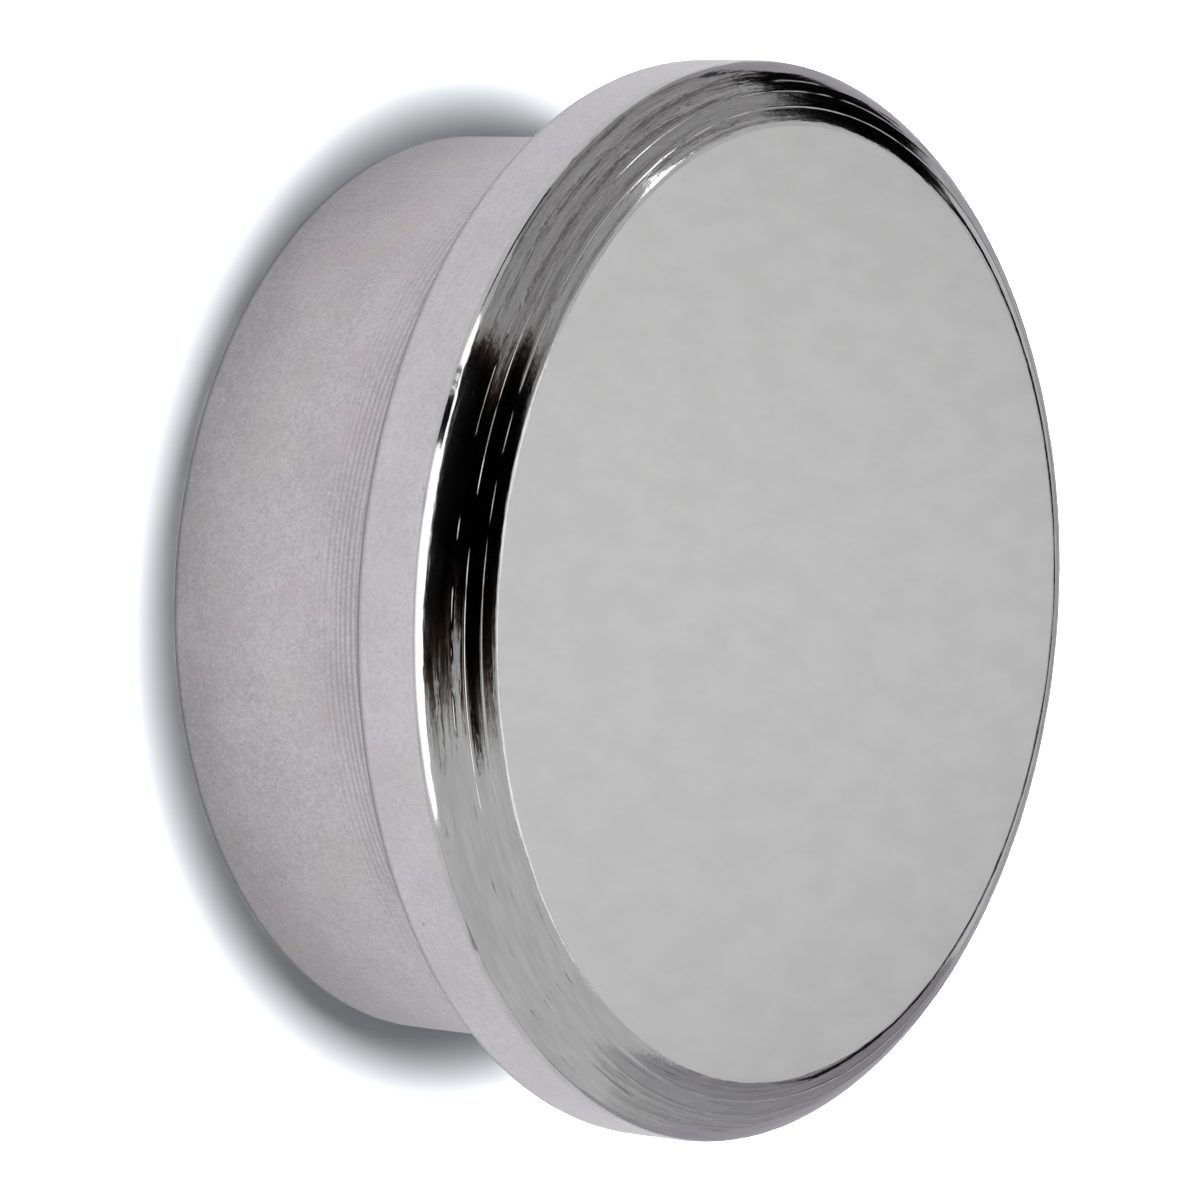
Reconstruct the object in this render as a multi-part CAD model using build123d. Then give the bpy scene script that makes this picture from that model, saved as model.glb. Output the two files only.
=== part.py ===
from build123d import *
import os

# Pot magnet: a steel body turned from one bar, with a straight pot behind and a wider head in front.
# A magnet disc is cast into a blind pocket in the pot's open end.
# Millimetres. The axis is Z. The mounting face is at z = 0 and the head's flat front face is at the top.

# Steel body, outside
pot_diameter = 18.8
height = 8.5
head_overhang = 1.6      # how far the head stands out past the pot, all round
head_band = 1.5          # straight side of the head
bevel_height = 0.95      # rounded bevel between the band and the front face, along the axis
bevel_width = 1.25       # the same bevel, across
bevel_crown = 0.17       # how far the bevel bulges past a straight cone

# Steel body, pocket
pot_wall = 1.6
pocket_corner = 0.4      # tool radius where the pocket's wall meets its floor

# Edges left by the turning tool
mounting_chamfer = 0.12  # outer edge of the mounting face
mouth_chamfer = 0.15     # inner edge of the mounting face
neck_fillet = 0.25       # pot to underside of the head
rear_edge_radius = 0.15  # rear corner of the head
front_edge_radius = 0.4  # corner between the head's band and its bevel

# Magnet disc and its resin
magnet_thickness = 4.5
magnet_edge_radius = 0.3
magnet_recess = 0.1      # the disc stands back from the mounting face by this much
resin_gap = 1.0          # between the disc's side and the pocket's wall
resin_film = 0.1         # under the disc
resin_recess = 0.2       # the resin's surface stands back from the mounting face by this much

# Sizes that follow
pot_radius = pot_diameter / 2
head_radius = pot_radius + head_overhang
face_radius = head_radius - bevel_width
bevel_start = height - bevel_height
neck_height = bevel_start - head_band
pocket_radius = pot_radius - pot_wall
magnet_top = magnet_recess + magnet_thickness
pocket_depth = magnet_top + resin_film
magnet_radius = pocket_radius - resin_gap


def corner(profile, radius, z):
    """The corner of a half profile that lies nearest a radius and a height."""
    return profile.vertices().sort_by_distance((radius, z, 0))[0]


def turned(profile):
    """A half profile, drawn with radius across and height up, turned about the Z axis."""
    return revolve(Plane.XZ * profile, Axis.Z)


def steel_body():
    """Pot and head in one piece, with the blind pocket for the magnet."""
    outline = Polyline(
        (0, height),
        (0, pocket_depth),
        (pocket_radius, pocket_depth),
        (pocket_radius, 0),
        (pot_radius, 0),
        (pot_radius, neck_height),
        (head_radius, neck_height),
        (head_radius, bevel_start),
    )
    bevel = SagittaArc((head_radius, bevel_start), (face_radius, height), -bevel_crown)
    front = Line((face_radius, height), (0, height))
    profile = make_face(outline + bevel + front)
    profile = fillet(corner(profile, pocket_radius, pocket_depth), pocket_corner)
    profile = chamfer(corner(profile, pocket_radius, 0), mouth_chamfer)
    profile = chamfer(corner(profile, pot_radius, 0), mounting_chamfer)
    profile = fillet(corner(profile, pot_radius, neck_height), neck_fillet)
    profile = fillet(corner(profile, head_radius, neck_height), rear_edge_radius)
    profile = fillet(corner(profile, head_radius, bevel_start), front_edge_radius)
    return turned(profile)


def magnet_disc():
    """Neodymium disc with both of its rims rounded."""
    profile = make_face(
        Polyline(
            (0, magnet_recess),
            (magnet_radius, magnet_recess),
            (magnet_radius, magnet_top),
            (0, magnet_top),
            (0, magnet_recess),
        )
    )
    for z in (magnet_recess, magnet_top):
        profile = fillet(corner(profile, magnet_radius, z), magnet_edge_radius)
    return turned(profile)


def epoxy_fill(magnet):
    """Cast resin: all of the pocket's space, from its own surface inwards, that the magnet leaves."""
    profile = make_face(
        Polyline(
            (0, resin_recess),
            (pocket_radius, resin_recess),
            (pocket_radius, pocket_depth),
            (0, pocket_depth),
            (0, resin_recess),
        )
    )
    profile = fillet(corner(profile, pocket_radius, pocket_depth), pocket_corner)
    return turned(profile) - magnet


magnet = magnet_disc()
pieces = {
    "steel_body": steel_body(),
    "magnet_disc": magnet,
    "epoxy_fill": epoxy_fill(magnet),
}

os.makedirs("parts", exist_ok=True)
for node, piece in pieces.items():
    export_step(piece, f"parts/{node}.step")
    print(node, round(piece.volume, 2), "mm3")
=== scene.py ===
# %% [markdown]
# # A small pot magnet
#
# The real thing is a steel body turned on a lathe and bright plated, with a straight pot behind and a wider
# head in front. A magnet disc is cast into the open end of the pot, where it holds to a board. Nothing on
# it moves.
#
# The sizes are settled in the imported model, so this script starts by loading that as a fixed frame.
# Everything here is in metres, and the part stands on its mounting face, with its axis along Z.

# %% Load the frame
import bpy
import math
from mathutils import Matrix, Vector, noise


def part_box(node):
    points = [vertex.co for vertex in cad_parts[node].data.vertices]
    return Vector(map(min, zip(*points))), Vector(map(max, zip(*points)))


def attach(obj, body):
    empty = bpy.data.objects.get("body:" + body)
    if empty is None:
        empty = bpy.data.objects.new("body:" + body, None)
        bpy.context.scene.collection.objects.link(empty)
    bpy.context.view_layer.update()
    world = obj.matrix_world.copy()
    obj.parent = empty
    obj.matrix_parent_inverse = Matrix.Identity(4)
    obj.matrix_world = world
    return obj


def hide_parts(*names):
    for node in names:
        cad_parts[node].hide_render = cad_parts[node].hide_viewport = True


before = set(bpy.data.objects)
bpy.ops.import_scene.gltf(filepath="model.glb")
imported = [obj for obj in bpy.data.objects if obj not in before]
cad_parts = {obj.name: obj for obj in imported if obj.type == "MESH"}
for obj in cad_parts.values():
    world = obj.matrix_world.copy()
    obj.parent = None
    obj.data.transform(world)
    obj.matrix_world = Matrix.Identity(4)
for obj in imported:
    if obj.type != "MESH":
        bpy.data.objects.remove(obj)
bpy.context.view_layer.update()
MM = 0.001

# %% [markdown]
# ## Read the sizes off the frame
#
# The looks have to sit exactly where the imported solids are. Instead of writing the radii and heights down
# again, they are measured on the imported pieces: each vertex is turned into a radius and a height, and the
# corners of the turned shape are the extremes of those.

# %% Measure the turned body


def radius_and_height(node):
    """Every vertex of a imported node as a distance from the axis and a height."""
    return [(math.hypot(v.co.x, v.co.y), v.co.z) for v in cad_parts[node].data.vertices]


STEP = 0.02 * MM  # two heights closer than this are the same edge
body = radius_and_height("steel_body")
TOP = max(z for r, z in body)
HEAD_RADIUS = max(r for r, z in body)
FACE_RADIUS = max(r for r, z in body if z > TOP - STEP)
POT_RADIUS = max(r for r, z in body if z < TOP / 3)
NECK = min(z for r, z in body if r > (POT_RADIUS + HEAD_RADIUS) / 2)
BAND_TOP = max(z for r, z in body if r > HEAD_RADIUS - 0.001 * MM)
RIM_OUTER = max(r for r, z in body if z < STEP / 2)
RIM_INNER = min(r for r, z in body if z < STEP / 2)
pocket = [(r, z) for r, z in body if r < POT_RADIUS - MM and z < TOP - MM]
POCKET_RADIUS = max(r for r, z in pocket if z > MM)
POCKET_DEPTH = max(z for r, z in pocket)
magnet_low, magnet_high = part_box("magnet_disc")
resin_low, resin_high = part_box("epoxy_fill")
measured = {
    "height": TOP,
    "head radius": HEAD_RADIUS,
    "front face radius": FACE_RADIUS,
    "pot radius": POT_RADIUS,
    "neck height": NECK,
    "top of the band": BAND_TOP,
    "mounting face outer radius": RIM_OUTER,
    "mounting face inner radius": RIM_INNER,
    "pocket radius": POCKET_RADIUS,
    "pocket depth": POCKET_DEPTH,
}
for what, size in measured.items():
    print(what, round(size / MM, 3), "mm")

# %% [markdown]
# ## The camera
#
# The magnet is seen as it hangs on an upright board: its axis points to the right and a little down, and
# the flat front face is turned partly towards the viewer. In the frame the part stands upright, so the
# camera looks down at it and is rolled a bit more than a quarter turn. A long lens from far away keeps the
# round edges nearly the same shape.

# %% Place the camera
ANGLE_FROM_AXIS = math.radians(53.05)
ROLL = math.radians(93.98)
LENS = 174.7
DISTANCE = 122.97 * MM
RIGHT_OF_ORIGIN = 2.862 * MM  # the middle of the picture lies this far right of the origin
BELOW_ORIGIN = 0.362 * MM

turn = Matrix.Rotation(ANGLE_FROM_AXIS, 4, "X") @ Matrix.Rotation(ROLL, 4, "Z")
bpy.ops.object.select_all(action="DESELECT")
bpy.ops.object.camera_add()
camera = bpy.context.object
camera.name = "camera"
camera.data.lens = LENS
camera.data.sensor_width = 36
camera.data.clip_start = MM
camera.data.clip_end = 10
camera.matrix_world = turn @ Matrix.Translation((RIGHT_OF_ORIGIN, -BELOW_ORIGIN, DISTANCE))
bpy.context.scene.camera = camera
print("camera at", [round(c / MM, 1) for c in camera.matrix_world.translation], "mm")

# %% [markdown]
# ## A small kit for materials
#
# Every finish is built from the same few nodes, so they get short helpers. Turned metal carries its marks
# round the axis, and a noise that follows them needs coordinates of its own: the direction from the axis,
# which has no seam, and the distance across the marks.

# %% Material helpers


class Finish:
    """A new material, with helpers that add a node and return its output."""

    def __init__(self, name):
        self.material = bpy.data.materials.new(name)
        self.material.use_nodes = True
        self.tree = self.material.node_tree
        self.shader = self.tree.nodes["Principled BSDF"]
        self.place = self.node("ShaderNodeTexCoord").outputs["Object"]

    def node(self, kind, **settings):
        made = self.tree.nodes.new(kind)
        for key, value in settings.items():
            setattr(made, key, value)
        return made

    def feed(self, socket, value):
        if isinstance(value, bpy.types.NodeSocket):
            self.tree.links.new(value, socket)
        else:
            socket.default_value = value

    def math(self, operation, *values):
        made = self.node("ShaderNodeMath", operation=operation)
        for socket, value in zip(made.inputs, values):
            self.feed(socket, value)
        return made.outputs[0]

    def vector(self, operation, *values):
        made = self.node("ShaderNodeVectorMath", operation=operation)
        for socket, value in zip(made.inputs, values):
            self.feed(socket, value)
        return made.outputs["Value" if operation == "LENGTH" else "Vector"]

    def ramp(self, value, low, high):
        """0 at low and 1 at high, smooth in between and level beyond. Low may be the larger of the two."""
        made = self.node("ShaderNodeMapRange", interpolation_type="SMOOTHSTEP")
        self.feed(made.inputs["Value"], value)
        made.inputs["From Min"].default_value = low
        made.inputs["From Max"].default_value = high
        return made.outputs["Result"]

    def noise(self, where, scale, detail=2.0, roughness=0.5):
        made = self.node("ShaderNodeTexNoise")
        self.feed(made.inputs["Vector"], where)
        made.inputs["Scale"].default_value = scale
        made.inputs["Detail"].default_value = detail
        made.inputs["Roughness"].default_value = roughness
        return made.outputs["Fac"]

    def mix(self, share, low, high):
        """A blend of two colours or two colour outputs."""
        made = self.node("ShaderNodeMix", data_type="RGBA")
        self.feed(made.inputs["Factor"], share)
        self.feed(made.inputs[6], low)
        self.feed(made.inputs[7], high)
        return made.outputs[2]

    def height(self):
        return self.split(self.place)[2]

    def split(self, vector):
        made = self.node("ShaderNodeSeparateXYZ")
        self.feed(made.inputs[0], vector)
        return made.outputs

    def radius(self):
        return self.vector("LENGTH", self.vector("MULTIPLY", self.place, (1, 1, 0)))

    def along_marks(self, turns, across, fine):
        """Coordinates that follow the turning marks: slow round the axis, fine across them."""
        outward = self.vector("NORMALIZE", self.vector("MULTIPLY", self.place, (1, 1, 0)))
        made = self.node("ShaderNodeCombineXYZ")
        self.feed(made.inputs["Z"], self.math("MULTIPLY", across, fine))
        return self.vector("ADD", self.vector("MULTIPLY", outward, (turns, turns, 0)), made.outputs[0])

    def bump(self, height, depth, below=None):
        """Raises the surface by a height of 0 to 1 times a depth in metres."""
        made = self.node("ShaderNodeBump")
        made.inputs["Distance"].default_value = depth
        self.feed(made.inputs["Height"], height)
        if below is not None:
            self.feed(made.inputs["Normal"], below)
        return made.outputs["Normal"]

    def finish(self, color, roughness, normal=None, metallic=1.0):
        self.feed(self.shader.inputs["Base Color"], color)
        self.feed(self.shader.inputs["Roughness"], roughness)
        self.shader.inputs["Metallic"].default_value = metallic
        if normal is not None:
            self.feed(self.shader.inputs["Normal"], normal)
        return self.material


print("material helpers ready")

# %% [markdown]
# ## The plated finishes
#
# One plating covers the whole body, but the steel under it was cut differently in each zone. The pot and
# the head's band came out satin, with a soft mauve cast. The bevel was cut last with a slow feed and is a
# mirror. The front face is evenly matt and neutral. So there is one material for each, and the marks in it
# run the way the tool did.

# %% Tints, pits and specks in satin plating
PINK = (0.51, 0.435, 0.455, 1)
YELLOW = (0.51, 0.48, 0.43, 1)
PIT = (0.16, 0.15, 0.16, 1)
SPECK = (0.85, 0.85, 0.86, 1)


def patches(f, shift, scale, detail, low, high):
    """1 in scattered patches, 0 elsewhere. The shift keeps one set of patches off another."""
    return f.ramp(f.noise(f.vector("ADD", f.place, shift), scale, detail), low, high)


def flawed(f, color, pit_share):
    """A colour with faint tints in broad patches, then small dark pits and smaller bright specks."""
    pink = patches(f, (0, 0, 0), 520, 2, 0.52, 0.68)
    yellow = patches(f, (0.3, 0.1, 0.2), 620, 2, 0.55, 0.71)
    pits = patches(f, (0.7, 0.2, 0.1), 5200, 1, pit_share, pit_share + 0.05)
    specks = patches(f, (0.2, 0.9, 0.5), 9000, 1, 0.80, 0.86)
    flaws = ((pink, 0.38, PINK), (yellow, 0.25, YELLOW), (pits, 0.45, PIT), (specks, 0.6, SPECK))
    for where, amount, tint in flaws:
        color = f.mix(f.math("MULTIPLY", where, amount), color, tint)
    return color


print("tints, pits and specks ready")

# %% Turning lines and painted shade
LINE_PITCH = 0.13 * MM
LINE_SHADE = (0.26, 0.25, 0.27, 1)
# The colour of the painted shade in the corner under the head and along the pot's back edge.
PAINTED_SHADE = (0.12, 0.12, 0.125, 1)


def turning_lines(f, height):
    """A fine even thread that drifts a little: 0 in its grooves and 1 on its crests."""
    drift = f.math("MULTIPLY", f.noise(f.along_marks(2, height, 2500), 1.0, 1), 6)
    wave = f.math("SINE", f.math("ADD", f.math("MULTIPLY", height, math.tau / LINE_PITCH), drift))
    return f.math("ADD", 0.5, f.math("MULTIPLY", wave, 0.5))


def behind_the_head(f, height):
    """Where the lines show: in uneven patches, most of all close behind the head."""
    patchy = f.ramp(f.noise(f.along_marks(4, height, 1500), 1.0, 2), 0.25, 0.55)
    return f.math("MULTIPLY", f.ramp(height, 0.55 * NECK, 0.80 * NECK), patchy)


def painted_shade_at_edges(f, height):
    """Painted shade: darker in the corner under the head, and along the pot's back edge."""
    # Painted shade in a narrow band round the corner under the head, then painted shade along the pot's back
    # edge.
    corner_shade = f.ramp(height, NECK - 0.16 * MM, NECK - 0.03 * MM)
    corner_shade = f.math("MULTIPLY", corner_shade, f.ramp(height, NECK + 0.22 * MM, NECK + 0.06 * MM))
    return f.math("MAXIMUM", corner_shade, f.ramp(height, 0.24 * MM, 0.12 * MM))


print("turning lines every", LINE_PITCH / MM, "mm")

# %% Satin plating of the pot and the band


def satin_plating(name, dark, light, pit_share, line_depth):
    """Bright plating over a fine satin cut, mottled, with turning lines close behind the head."""
    f = Finish(name)
    height = f.height()
    cloud = f.noise(f.place, 800, 3)
    mottle = f.noise(f.along_marks(60, height, 7000), 1.0, 3, 0.6)
    grain = f.noise(f.place, 17000, 2, 0.6)
    tone = f.math("ADD", f.math("MULTIPLY", mottle, 0.38), f.math("MULTIPLY", grain, 0.62))
    tone = f.math("ADD", tone, f.math("MULTIPLY", f.math("SUBTRACT", cloud, 0.5), 0.3))
    color = flawed(f, f.mix(f.ramp(tone, 0.32, 0.68), dark, light), pit_share)

    crests = f.math("MULTIPLY", behind_the_head(f, height), line_depth)
    crests = f.math("MULTIPLY", turning_lines(f, height), crests)
    color = f.mix(f.math("MULTIPLY", crests, 0.62), color, LINE_SHADE)
    # Painted shade: the corner under the head and the pot's back edge are darkened in the colour.
    color = f.mix(f.math("MULTIPLY", painted_shade_at_edges(f, height), 0.68), color, PAINTED_SHADE)
    surface = f.bump(grain, 0.004 * MM)
    surface = f.bump(crests, 0.0013 * MM, surface)
    roughness = f.math("ADD", 0.30, f.math("MULTIPLY", cloud, 0.12))
    return f.finish(color, roughness, surface)


wall_finish = satin_plating("satin_wall", (0.42, 0.40, 0.43, 1), (0.55, 0.535, 0.56, 1), 0.80, 1.0)
band_finish = satin_plating("satin_band", (0.47, 0.455, 0.485, 1), (0.56, 0.55, 0.58, 1), 0.76, 0.0)
print("made", wall_finish.name, "and", band_finish.name)

# %% Mirror plating of the bevel


def mirror_plating():
    """Glossy plating over a slow cut, with broken streaks that run round with the tool marks."""
    f = Finish("mirror_bevel")
    radius = f.radius()

    # Long streaks, short flecks and slow waves all follow the tool marks, each shallower than a hair.
    streaks = f.noise(f.along_marks(9, radius, 11000), 1.0, 2, 0.6)
    flecks = f.noise(f.along_marks(70, radius, 16000), 1.0, 1)
    waviness = f.noise(f.along_marks(4, radius, 3000), 1.0, 1)
    surface = f.bump(waviness, 0.009 * MM)
    surface = f.bump(streaks, 0.0032 * MM, surface)
    surface = f.bump(flecks, 0.0010 * MM, surface)
    color = f.mix(f.ramp(streaks, 0.3, 0.7), (0.44, 0.44, 0.44, 1), (0.50, 0.50, 0.50, 1))

    # A few dark scores, broken off here and there.
    scores = f.noise(f.along_marks(5, radius, 21000), 1.0, 1)
    broken = f.ramp(f.noise(f.along_marks(11, radius, 1500), 1.0, 2), 0.47, 0.56)
    scored = f.math("MULTIPLY", f.ramp(scores, 0.62, 0.72), broken)
    color = f.mix(f.math("MULTIPLY", scored, 0.55), color, (0.10, 0.09, 0.085, 1))
    roughness = f.math("ADD", 0.05, f.math("MULTIPLY", streaks, 0.08))
    return f.finish(color, roughness, surface)


bevel_finish = mirror_plating()
print("made", bevel_finish.name)

# %% Matt front face


def matt_face():
    """Even, neutral and matt, with a faint slanting mottle."""
    f = Finish("matt_face")
    slanted = f.node("ShaderNodeMapping")
    f.feed(slanted.inputs["Vector"], f.place)
    slanted.inputs["Rotation"].default_value = (0, 0, math.radians(35))
    slanted.inputs["Scale"].default_value = (1, 0.4, 1)
    blotch = f.noise(slanted.outputs[0], 1400, 3, 0.55)
    grain = f.noise(f.place, 7000, 2)
    color = f.mix(f.ramp(blotch, 0.35, 0.65), (0.628, 0.628, 0.626, 1), (0.676, 0.676, 0.674, 1))
    roughness = f.math("ADD", 0.34, f.math("MULTIPLY", blotch, 0.1))
    return f.finish(color, roughness, f.bump(grain, 0.0015 * MM))


face_finish = matt_face()
print("made", face_finish.name)

# %% Turned mounting face


def turned_rim():
    """The pot's open end: plated over fine rings left by facing it on the lathe."""
    f = Finish("turned_rim")
    radius = f.radius()
    rings = f.noise(f.along_marks(1.2, radius, 16000), 1.0, 1)
    scuffs = f.noise(f.place, 1400, 4, 0.65)
    color = f.mix(f.ramp(scuffs, 0.4, 0.62), (0.44, 0.435, 0.44, 1), (0.58, 0.575, 0.58, 1))
    roughness = f.math("ADD", 0.2, f.math("MULTIPLY", scuffs, 0.22))
    return f.finish(color, roughness, f.bump(rings, 0.004 * MM))


rim_finish = turned_rim()
print("made", rim_finish.name)

# %% [markdown]
# ## Turning a piece
#
# A lathe makes a body from a profile, and so does Blender's spin. The profile is drawn as one vertex at its
# start, extruded from point to point. Spun a full turn about the axis, its ends meet, so the doubled
# vertices are merged and the normals are recalculated to point outwards.

# %% Spin a profile
AROUND = 480


def arc(centre, radius, start, end, steps):
    """Points on an arc about a centre, between two angles in degrees, where 0 points away from the axis."""
    angles = [math.radians(start + (end - start) * i / steps) for i in range(steps + 1)]
    return [(centre[0] + radius * math.cos(a), centre[1] + radius * math.sin(a)) for a in angles]


def line(start, end, steps):
    """Points on a straight stretch, without its two ends."""
    return [(start[0] + (end[0] - start[0]) * i / steps, start[1] + (end[1] - start[1]) * i / steps)
            for i in range(1, steps)]


def turned(name, profile):
    """Extrudes one vertex along a profile of (radius, height) points, then spins it about the axis."""
    bpy.ops.object.select_all(action="DESELECT")
    bpy.ops.mesh.primitive_plane_add(size=MM)
    piece = bpy.context.object
    piece.name = name
    piece.data.name = name
    bpy.ops.object.mode_set(mode="EDIT")
    bpy.ops.mesh.select_all(action="SELECT")
    bpy.ops.mesh.merge(type="CENTER")
    here = Vector((0, 0, 0))
    for i, (radius, z) in enumerate(profile):
        step = Vector((radius, 0, z)) - here
        if i == 0:
            bpy.ops.transform.translate(value=step)
        else:
            bpy.ops.mesh.extrude_region_move(TRANSFORM_OT_translate={"value": step})
        here += step
    bpy.ops.mesh.select_all(action="SELECT")
    bpy.ops.mesh.spin(steps=AROUND, angle=math.tau, center=(0, 0, 0), axis=(0, 0, 1))
    bpy.ops.mesh.select_all(action="SELECT")
    bpy.ops.mesh.remove_doubles(threshold=0.0005 * MM)
    bpy.ops.mesh.normals_make_consistent(inside=False)
    bpy.ops.object.mode_set(mode="OBJECT")
    bpy.ops.object.shade_smooth_by_angle(angle=math.radians(40))
    print(name, "has", len(piece.data.polygons), "faces")
    return piece


# %% [markdown]
# ## The steel body
#
# The profile runs from the middle of the front face, over the bevel, down the band, under the head, down
# the pot, round the mounting face and up into the pocket. The bevel is a shallow arc. The tool crossed it
# in a few slow passes, so it isn't smooth: each pass left a very shallow hollow, with a thin raised thread
# of metal at its edge. Those threads catch the light as fine bright lines, so they are real geometry here.

# %% Draw the bevel
PASS_ENDS = (0.27, 0.42, 0.585, 0.80)           # where each pass ends, from the band to the face
THREAD_HEIGHTS = (0.003, 0.005, 0.007, 0.007)   # the thread it leaves there, in mm
THREAD_WHOLE = (0.1, 0.4, 1.15, 1.2)            # and how much of that is not torn
THREAD_HALF = 0.010 * MM
HOLLOW = 0.0012 * MM    # depth of the hollow that each pass leaves
BEVEL_CROWN = 0.17 * MM  # how far the arc bulges past its chord
CORNER = 0.107 * MM     # the rounded corner takes this much of the band and of the bevel
LIP = 0.075 * MM        # and so does the rolled lip between the bevel and the face

corner_point = Vector((HEAD_RADIUS, BAND_TOP + CORNER))
face_edge = Vector((FACE_RADIUS, TOP))
chord = face_edge - corner_point
outward = Vector((chord.y, -chord.x)).normalized()
first_share = CORNER / chord.length
last_share = 1 - LIP / chord.length


def bevel_point(share):
    """A point on the bevel's arc: share 0 at the band's corner, and 1 at the front face's edge."""
    return corner_point + chord * share + outward * (4 * BEVEL_CROWN * share * (1 - share))


def rounded(start, middle, end, steps):
    """A smooth curve from start to end that leaves and arrives along the lines to the middle point."""
    shares = [i / steps for i in range(steps + 1)]
    return [tuple(start * (1 - t) ** 2 + middle * 2 * t * (1 - t) + end * t ** 2) for t in shares]


def bevel_profile():
    """The bevel from the face down to the band, with a hollow for each pass and a thread between two."""
    half = THREAD_HALF / chord.length
    ends = (first_share - half,) + PASS_ENDS + (last_share + half,)
    points = []
    for k in reversed(range(len(ends) - 1)):
        low, high = ends[k] + half, ends[k + 1] - half
        for i in range(7):
            share = high + (low - high) * i / 6
            depth = HOLLOW * (1 - (i / 3 - 1) ** 2)
            points.append(bevel_point(share) - outward * depth)
        if k > 0:
            points.append(bevel_point(ends[k]) + outward * THREAD_HEIGHTS[k - 1] * MM)
    return [tuple(p) for p in points]


lip = rounded(face_edge - Vector((LIP, 0)), face_edge, bevel_point(last_share), 4)
corner = rounded(bevel_point(first_share), corner_point, corner_point - Vector((0, CORNER)), 7)
print("bevel is", round(chord.length / MM, 3), "mm across, cut in", len(PASS_ENDS) + 1, "passes")

# %% Draw the rest of the body and spin it
REAR_EDGE = 0.15 * MM
NECK_FILLET = 0.25 * MM
POCKET_CORNER = 0.4 * MM
RIM_CHAMFER = POT_RADIUS - RIM_OUTER
MOUTH_CHAMFER = RIM_INNER - POCKET_RADIUS

front = [(0, TOP), (0.5 * FACE_RADIUS, TOP), (FACE_RADIUS - 3 * LIP, TOP)]
band = line((HEAD_RADIUS, BAND_TOP), (HEAD_RADIUS, NECK + REAR_EDGE), 6)
rear_edge = arc((HEAD_RADIUS - REAR_EDGE, NECK + REAR_EDGE), REAR_EDGE, 0, -90, 6)
neck_fillet = arc((POT_RADIUS + NECK_FILLET, NECK - NECK_FILLET), NECK_FILLET, 90, 180, 6)
pot_wall = line((POT_RADIUS, NECK - NECK_FILLET), (POT_RADIUS, RIM_CHAMFER), 10)
mounting = [(POT_RADIUS, RIM_CHAMFER), (RIM_OUTER, 0), (RIM_INNER, 0), (POCKET_RADIUS, MOUTH_CHAMFER)]
pocket_corner = arc((POCKET_RADIUS - POCKET_CORNER, POCKET_DEPTH - POCKET_CORNER), POCKET_CORNER, 0, 90, 5)
head_profile = front + lip + bevel_profile()[1:] + corner[1:] + band + rear_edge
pot_profile = neck_fillet + pot_wall + mounting + pocket_corner + [(0, POCKET_DEPTH)]
turned_body = turned("turned_body", head_profile + pot_profile)

# %% [markdown]
# The spin leaves each thread even all the way round. On the part they are torn, so stretches of them are
# sunk away. A noise that is read on a circle has no seam, and it says how much of the thread is left at
# each place.

# %% Break the threads up
SAME_POINT = 0.0005 * MM


def thread_left(aside, k):
    """How much of thread k is left, from 0 to 1, in a direction from the axis."""
    long_tears = noise.noise(Vector((16 * aside.x, 16 * aside.y, 7.3 * k)))
    short_tears = noise.noise(Vector((80 * aside.x, 80 * aside.y, 3.1 * k)))
    return min(max(THREAD_WHOLE[k] + 2.4 * (long_tears + 0.35 * short_tears), 0.0), 1.0)


threads = [bevel_point(end) + outward * height * MM for end, height in zip(PASS_ENDS, THREAD_HEIGHTS)]
torn = 0
for vertex in turned_body.data.vertices:
    here = Vector((vertex.co.xy.length, vertex.co.z))
    aside = vertex.co.xy.normalized()
    for k, thread in enumerate(threads):
        if (here - thread).length < SAME_POINT:
            left = thread_left(aside, k)
            inward = -outward * THREAD_HEIGHTS[k] * MM * (1 - left)
            vertex.co += Vector((aside.x * inward.x, aside.y * inward.x, inward.y))
            torn += left < 0.5
print("threads torn at", torn, "of", len(threads) * AROUND, "places")

# %% [markdown]
# One turned body carries five finishes, and each face of its mesh gets the one of its zone. The zones
# follow from the measured sizes: a flat top, the bevel above the band, the head, the pot's wall, and the
# open end with its pocket.

# %% Give each zone its finish
for finish in (wall_finish, band_finish, bevel_finish, face_finish, rim_finish):
    turned_body.data.materials.append(finish)
WALL, BAND, BEVEL, FACE, RIM = range(5)
for face in turned_body.data.polygons:
    radius, z = math.hypot(face.center.x, face.center.y), face.center.z
    if radius < FACE_RADIUS - LIP and z > TOP - STEP:
        zone = FACE
    elif z > BAND_TOP + CORNER / 3:
        zone = BEVEL
    elif radius > POT_RADIUS + 2 * NECK_FILLET:
        zone = BAND
    elif z < RIM_CHAMFER or radius < POT_RADIUS - STEP:
        zone = RIM
    else:
        zone = WALL
    face.material_index = zone
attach(turned_body, "root")
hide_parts("steel_body")

# %% [markdown]
# ## The magnet and its resin
#
# They only show from behind. The disc is bright nickel with rounded rims, scuffed where it has met steel.
# The resin was poured in round it, and it creeps a little way up the disc and the wall, so its surface sags
# between them.

# %% Nickel-plated magnet disc
MAGNET_EDGE = 0.3 * MM


def nickel():
    """Bright nickel with fine scratches that run one way and soft scuffed patches."""
    f = Finish("bright_nickel")
    long_scratches = f.node("ShaderNodeMapping")
    f.feed(long_scratches.inputs["Vector"], f.place)
    long_scratches.inputs["Rotation"].default_value = (0, 0, math.radians(25))
    long_scratches.inputs["Scale"].default_value = (0.06, 1, 1)
    scratches = f.noise(long_scratches.outputs[0], 9000, 2, 0.7)
    scuffs = f.noise(f.place, 700, 4, 0.6)
    color = f.mix(f.ramp(scuffs, 0.35, 0.7), (0.60, 0.585, 0.55, 1), (0.68, 0.665, 0.63, 1))
    roughness = f.math("ADD", 0.12, f.math("MULTIPLY", f.ramp(scuffs, 0.45, 0.7), 0.2))
    return f.finish(color, roughness, f.bump(scratches, 0.0012 * MM))


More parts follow.
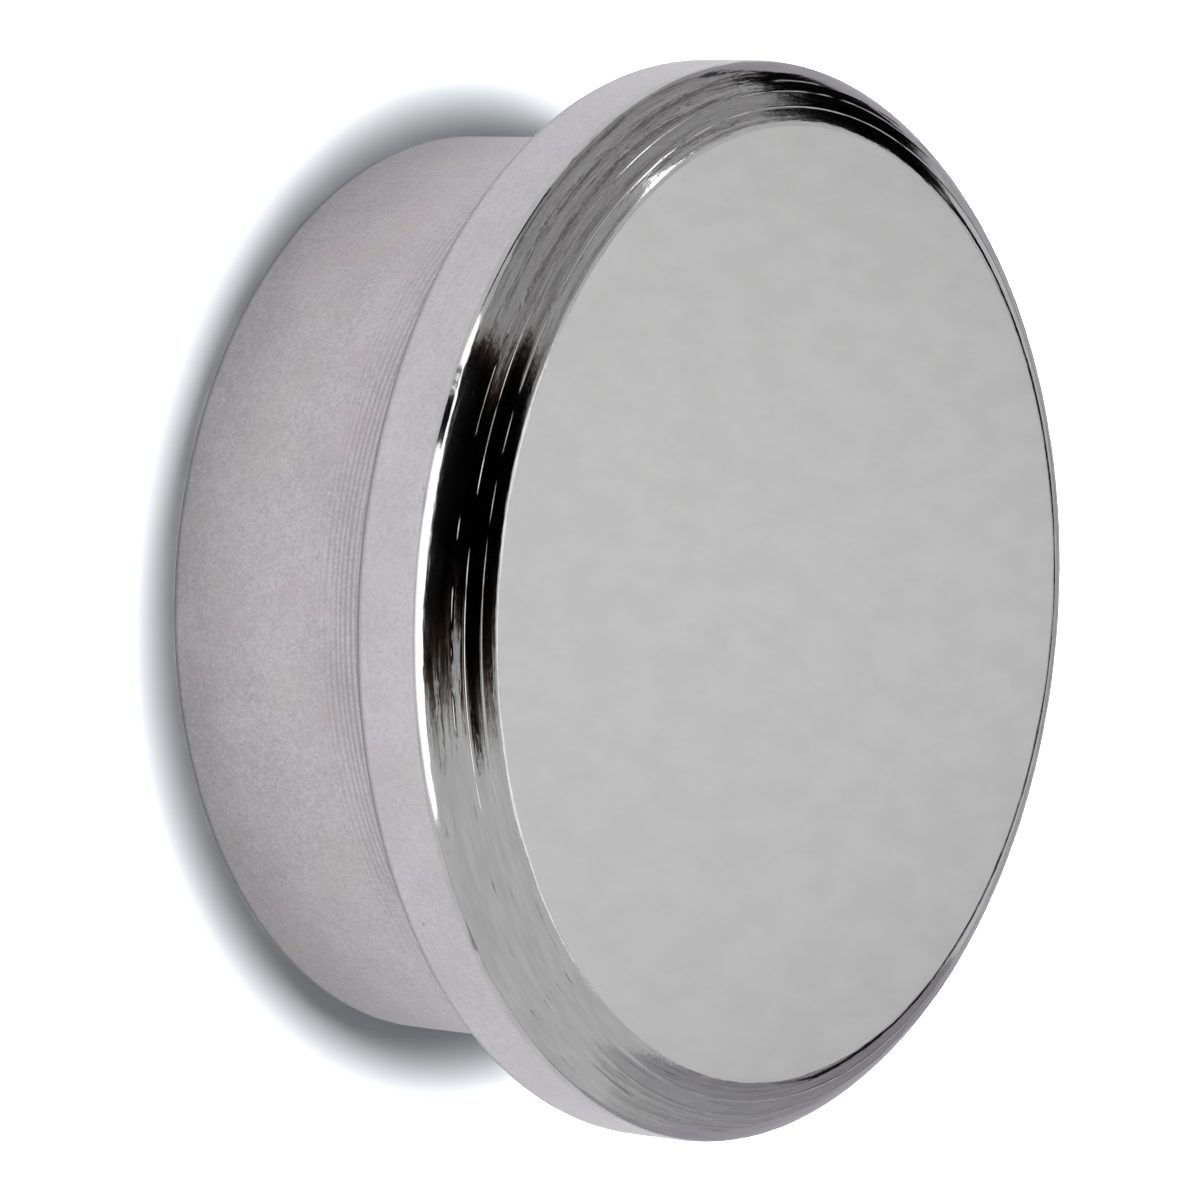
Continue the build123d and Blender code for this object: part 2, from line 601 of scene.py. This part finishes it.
magnet_radius = magnet_high.x
corner_radius = magnet_radius - MAGNET_EDGE
magnet_profile = (
    [(0, magnet_low.z), (0.5 * corner_radius, magnet_low.z)]
    + arc((corner_radius, magnet_low.z + MAGNET_EDGE), MAGNET_EDGE, -90, 0, 8)
    + line((magnet_radius, magnet_low.z + MAGNET_EDGE), (magnet_radius, magnet_high.z - MAGNET_EDGE), 4)
    + arc((corner_radius, magnet_high.z - MAGNET_EDGE), MAGNET_EDGE, 0, 90, 8)
    + [(0, magnet_high.z)]
)
magnet = turned("nickel_magnet", magnet_profile)
magnet.data.materials.append(nickel())
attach(magnet, "root")
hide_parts("magnet_disc")

# %% Cast resin
RESIN_CREEP = 0.12 * MM  # how far the resin climbs at the disc and at the wall
SAG = 0.06 * MM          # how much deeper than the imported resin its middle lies


def dark_resin():
    """Dark, glossy and slightly wavy, with a few tiny bubbles."""
    f = Finish("dark_resin")
    waves = f.noise(f.place, 900, 2)
    bubbles = f.ramp(f.noise(f.place, 5200, 1), 0.70, 0.78)
    surface = f.bump(waves, 0.05 * MM)
    surface = f.bump(bubbles, -0.02 * MM, surface)
    color = f.mix(waves, (0.018, 0.018, 0.021, 1), (0.034, 0.033, 0.037, 1))
    roughness = f.math("ADD", 0.16, f.math("MULTIPLY", waves, 0.14))
    return f.finish(color, roughness, surface, metallic=0.0)


inner, outer, surface_z = magnet_radius, POCKET_RADIUS, resin_low.z
meniscus = []
for i in range(13):
    share = i / 12
    climb = RESIN_CREEP * abs(2 * share - 1) ** 3
    meniscus.append((inner + (outer - inner) * share, surface_z + SAG - climb))
film = [(outer, POCKET_DEPTH), (0, POCKET_DEPTH), (0, magnet_high.z), (inner, magnet_high.z)]
resin = turned("resin_fill", meniscus + film + [meniscus[0]])
resin.data.materials.append(dark_resin())
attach(resin, "root")
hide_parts("epoxy_fill")

# %% [markdown]
# ## The floor and the light
#
# Polished metal has no look of its own: it shows the room. So the room is built for it, the way a studio
# does. The floor and the surroundings are white, and a soft lamp overhead grounds the part with a small
# shadow. Everything else is cards that only reflections see: a long bright one low in front for the white
# line on the head's corner, small bright ones for the lip and for a sparkle above it, and black and grey
# ones that give the bevel its contrast.

# %% White surroundings


def camera_and_mirror_rays(tree):
    """Two outputs: 1 for what the camera sees, straight or through glass, and 1 for what metal mirrors."""
    path = tree.nodes.new("ShaderNodeLightPath")
    either = tree.nodes.new("ShaderNodeMath")
    either.operation = "MAXIMUM"
    tree.links.new(path.outputs["Is Camera Ray"], either.inputs[0])
    tree.links.new(path.outputs["Is Transmission Ray"], either.inputs[1])
    return either.outputs[0], path.outputs["Is Glossy Ray"]


def strength_by_ray(tree, share, low, high):
    """Low where the share is 0 and high where it is 1. Low is a number or another output."""
    step = tree.nodes.new("ShaderNodeMapRange")
    tree.links.new(share, step.inputs["Value"])
    if isinstance(low, bpy.types.NodeSocket):
        tree.links.new(low, step.inputs["To Min"])
    else:
        step.inputs["To Min"].default_value = low
    step.inputs["To Max"].default_value = high
    return step.outputs["Result"]


AMBIENT = 0.12  # what the surroundings light matt things with
MIRRORED = 0.80  # how bright they are in the metal
world = bpy.data.worlds.new("white_surroundings")
bpy.context.scene.world = world
world.use_nodes = True
background = world.node_tree.nodes["Background"]
background.inputs["Color"].default_value = (1, 1, 1, 1)
seen, mirrored = camera_and_mirror_rays(world.node_tree)
strength = strength_by_ray(world.node_tree, mirrored, AMBIENT, MIRRORED)
strength = strength_by_ray(world.node_tree, seen, strength, 1.0)
world.node_tree.links.new(strength, background.inputs["Strength"])
print("surroundings ready")

# %% White floor
FLOOR_IN_METAL = 0.52  # how bright the floor is in the metal

bpy.ops.object.select_all(action="DESELECT")
bpy.ops.mesh.primitive_plane_add(size=3)
floor = bpy.context.object
floor.name = "floor"
paper = Finish("white_paper")
glow = paper.node("ShaderNodeEmission")
glow.inputs["Color"].default_value = (1, 1, 1, 1)
seen, mirrored = camera_and_mirror_rays(paper.tree)
paper.feed(glow.inputs["Strength"], paper.math("MULTIPLY", mirrored, FLOOR_IN_METAL))
paper.finish(paper.mix(mirrored, (0.81, 0.84, 0.87, 1), (0.12, 0.12, 0.12, 1)), 0.9, metallic=0.0)
paper.shader.inputs["Specular IOR Level"].default_value = 0.0
both = paper.node("ShaderNodeAddShader")
paper.tree.links.new(paper.shader.outputs[0], both.inputs[0])
paper.tree.links.new(glow.outputs[0], both.inputs[1])
paper.tree.links.new(both.outputs[0], paper.tree.nodes["Material Output"].inputs["Surface"])
floor.data.materials.append(paper.material)
print("floor ready")

# %% Soft lamp overhead
LAMP_PLACE = Vector((-0.006, -0.013, 0.26))
LAMP_SIDE = 0.125
LAMP_POWER = 2.5

bpy.ops.object.select_all(action="DESELECT")
bpy.ops.object.light_add(type="AREA", location=LAMP_PLACE)
overhead = bpy.context.object
overhead.name = "lamp_overhead"
overhead.data.shape = "RECTANGLE"
overhead.data.size = LAMP_SIDE
overhead.data.size_y = LAMP_SIDE
overhead.data.energy = LAMP_POWER
overhead.rotation_euler = (-LAMP_PLACE).to_track_quat("-Z", "Y").to_euler()
overhead.visible_camera = False
overhead.visible_glossy = False
print("one soft lamp ready")

# %% [markdown]
# ## Cards for the reflections
#
# A card is a flat sheet that only reflections see. Where the bevel mirrors a black card it goes black, and
# where the card ends in fingers the black ends in streaks, as it does on metal with tool marks. The streaks
# are laid out once, on the card, for somebody who looks from the main side. So they stay where they are
# when the camera moves.

# %% The shape of a card
def sheet(name, corners):
    """A flat four-sided mesh between corners that are given from the lower left round to the upper left."""
    bpy.ops.object.select_all(action="DESELECT")
    bpy.ops.mesh.primitive_plane_add(size=1)
    made = bpy.context.object
    made.name = name
    order = ((-1, -1), (1, -1), (1, 1), (-1, 1))
    for vertex in made.data.vertices:
        side = (round(2 * vertex.co.x), round(2 * vertex.co.y))
        vertex.co = corners[order.index(side)]
    return made


def ceiling(height, *corners):
    """Corners at a height over the middle, each given as sideways distances for a height of one."""
    return [(x * height, y * height, height + 0.008) for x, y in corners]


def beyond(distance, *corners):
    """Corners on an upright card on the far side, as sideways and upward distances for a distance of one."""
    return [(x * distance, distance, z * distance + 0.9 * TOP) for x, z in corners]


def upright(y, left, right, low, high):
    """Corners of an upright card that faces the part from in front."""
    return [(left, y, low), (right, y, low), (right, y, high), (left, y, high)]


print("card shapes ready")

# %% The paint of a card
VIEW = camera.matrix_world.translation.normalized()
FINGERS = 19  # how many fingers there are for each radian of tilt
STRIPES = 26  # and how many stripes
STRIPE = (0.05, 0.04, 0.04, 1)


def tilt_of_metal(paint):
    """The tilt that metal has where it mirrors a spot of the card towards the main side, as a coordinate."""
    toward = paint.vector("NORMALIZE", paint.vector("SUBTRACT", paint.place, (0, 0, TOP)))
    halfway = paint.vector("NORMALIZE", paint.vector("ADD", toward, VIEW))
    made = paint.node("ShaderNodeCombineXYZ")
    paint.feed(made.inputs["X"], paint.math("ARCCOSINE", paint.split(halfway)[2]))
    return made.outputs[0]


def depth_inside(paint, share, tilt, frayed):
    """How far a spot lies inside a card whose two ends are torn into fingers: below 0, it is cut away."""
    finger = paint.ramp(paint.noise(tilt, FINGERS, 3, 0.8), 0.38, 0.62)
    left = paint.math("SUBTRACT", paint.math("DIVIDE", share, frayed[0]), finger)
    right = paint.math("DIVIDE", paint.math("SUBTRACT", 1, share), frayed[1])
    return paint.math("MINIMUM", left, paint.math("SUBTRACT", right, finger))


def card(name, colors, corners, frayed=None, stripes=0.0):
    """A card seen only in reflections, blended from its first colour at the left to its last at the right.

    A frayed card ends in fingers of the given shares of its width, where it has its first colour, and the
    stripes darken it in lines from end to end. On the bevel both come out as streaks along the tool marks.
    """
    made = sheet(name, corners)
    paint = Finish(name + "_paint")
    share = paint.split(paint.node("ShaderNodeTexCoord").outputs["UV"])[0]
    shade = paint.node("ShaderNodeEmission")
    surface = shade.outputs[0]
    color = paint.mix(share, colors[0], colors[-1])
    tilt = tilt_of_metal(paint)
    if frayed:
        inside = depth_inside(paint, share, tilt, frayed)
        color = paint.mix(paint.ramp(inside, 0.0, 0.5), colors[0], colors[-1])
        either = paint.node("ShaderNodeMixShader")
        paint.feed(either.inputs[0], paint.ramp(inside, -0.05, 0.06))
        paint.feed(either.inputs[1], paint.node("ShaderNodeBsdfTransparent").outputs[0])
        paint.feed(either.inputs[2], surface)
        surface = either.outputs[0]
    if stripes:
        bands = paint.ramp(paint.noise(tilt, STRIPES, 3, 0.85), 0.47, 0.55)
        color = paint.mix(paint.math("MULTIPLY", bands, stripes), color, STRIPE)
    paint.feed(shade.inputs["Color"], color)
    paint.tree.links.new(surface, paint.tree.nodes["Material Output"].inputs["Surface"])
    made.data.materials.append(paint.material)
    made.visible_camera = False
    made.visible_shadow = False
    made.visible_diffuse = False
    return made


print("card paint ready")

# %% [markdown]
# The black cards overhead and in front make the bevel's dark left side, with brown where they fray. A grey
# one beside them keeps the top left of the bevel dull, and the black ones on the far side make its dark
# right side.

# %% Cards overhead
BLACK = (0, 0, 0, 1)
BROWN = (0.085, 0.048, 0.028, 1)
GREY = (0.60, 0.59, 0.59, 1)
FRAY = (0.22, 0.15)
BLACK_HEIGHT = 0.10
GREY_HEIGHT = 0.11

front_corners = ceiling(BLACK_HEIGHT, (-3.0, -2.6), (2.0, -2.6), (0.48, -0.36), (-0.74, -0.36))
over_corners = ceiling(BLACK_HEIGHT, (-0.74, -0.36), (0.48, -0.36), (0.134, 0.58), (-0.19, 0.58))
grey_corners = ceiling(GREY_HEIGHT, (-6.0, -1.6), (-0.4, -1.6), (-0.05, 0.62), (-0.42, 0.80))
card("card_black_front", [BROWN, BLACK], front_corners, FRAY)
card("card_black_overhead", [BROWN, BLACK], over_corners, FRAY)
card("card_grey_overhead", [GREY], grey_corners, stripes=0.75)
print("three cards overhead")

# %% Cards on the far side and beside
MAUVE = (0.50, 0.485, 0.52, 1)
DIM = (0.40, 0.385, 0.42, 1)
SURROUND = (MIRRORED, MIRRORED, MIRRORED, 1)
NEAR = 0.035
FAR = 0.062

black_corners = beyond(NEAR, (-2.1, -0.12), (-0.62, -0.12), (-0.36, 0.50), (-0.92, 0.84))
left_corners = beyond(NEAR, (-0.52, 0.22), (-0.02, 0.10), (-0.02, 0.27), (-0.42, 0.44))
right_corners = beyond(NEAR, (-0.02, 0.10), (0.64, 0.42), (0.58, 0.58), (-0.02, 0.27))
mauve_corners = beyond(FAR, (0.3, -0.12), (2.2, -0.12), (2.2, 1.7), (0.3, 0.80))
card("card_black_beyond", [BLACK], black_corners, (0.50, 0.05))
card("card_black_left_arm", [BLACK], left_corners)
card("card_black_right_arm", [BLACK], right_corners)
card("card_mauve_beyond", [DIM, SURROUND], mauve_corners, stripes=0.35)

side_low, side_high = 0.004, 0.12
side_corners = [
    (-0.055, 0.115, side_low),
    (-0.165, -0.07, side_low),
    (-0.165, -0.07, side_high),
    (-0.055, 0.115, side_high),
]
card("card_grey_side", [GREY], side_corners, stripes=0.8)
print("five cards on the far side and beside")

# %% [markdown]
# A mauve card on the floor behind tints the band and the pot, and a low black one at the side darkens the
# pot's lower edge. The bright cards in front make the white line on the head's corner, and three narrow
# black bars break it up near its top. A bright card overhead edges the lip, and a small brighter one makes
# the sparkle beside it.

# %% Cards on the floor and bright cards
ABOVE_FLOOR = 0.0004
FRONT = -0.19
WHITE_LINE = (2.6, 2.6, 2.6, 1)
WHITE_FLOOR = (1.9, 1.9, 1.9, 1)
WHITE_LIP = (1.7, 1.7, 1.7, 1)
SPARKLE = (4, 4, 4, 1)
BRIGHT_HEIGHT = 0.12


def on_floor(*corners):
    """Corners on a card that lies just above the floor."""
    return [(x, y, ABOVE_FLOOR) for x, y in corners]


card("card_mauve_floor", [MAUVE], on_floor((-0.3, 0.013), (0.3, 0.013), (0.3, 0.3), (-0.3, 0.3)))
black_side = [(-0.14, 0.0, 0.002), (-0.14, -0.11, 0.002), (-0.14, -0.11, 0.017), (-0.14, 0.0, 0.017)]
card("card_black_side", [BLACK], black_side)
card("card_bright_low", [WHITE_LINE], upright(FRONT, -0.23, 0.19, 0.001, 0.105))
bright_floor = on_floor((-0.18, FRONT), (0.15, FRONT), (0.04, -0.045), (-0.045, -0.045))
card("card_bright_floor", [WHITE_FLOOR], bright_floor)
for k, (left, right) in enumerate(((-0.0300, -0.0282), (-0.0274, -0.0260), (-0.0250, -0.0164))):
    card("card_black_bar_" + str(k), [BLACK], upright(-0.04, left, right, 0.0005, 0.02))
lip_corners = ceiling(BRIGHT_HEIGHT, (-0.16, 0.74), (0.16, 0.84), (0.26, 1.16), (-0.16, 1.0))
card("card_bright_lip", [WHITE_LIP], lip_corners)
sparkle_corners = ceiling(BRIGHT_HEIGHT, (-0.92, 0.60), (-0.54, 0.60), (-0.42, 0.95), (-0.70, 0.98))
card("card_bright_sparkle", [SPARKLE], sparkle_corners)
print("nine more cards, on the floor, in front and overhead")

# %% [markdown]
# ## Show it plainly
#
# The colours are shown as they are written, with no film look.

# %% Finish
bpy.context.scene.view_settings.view_transform = "Standard"
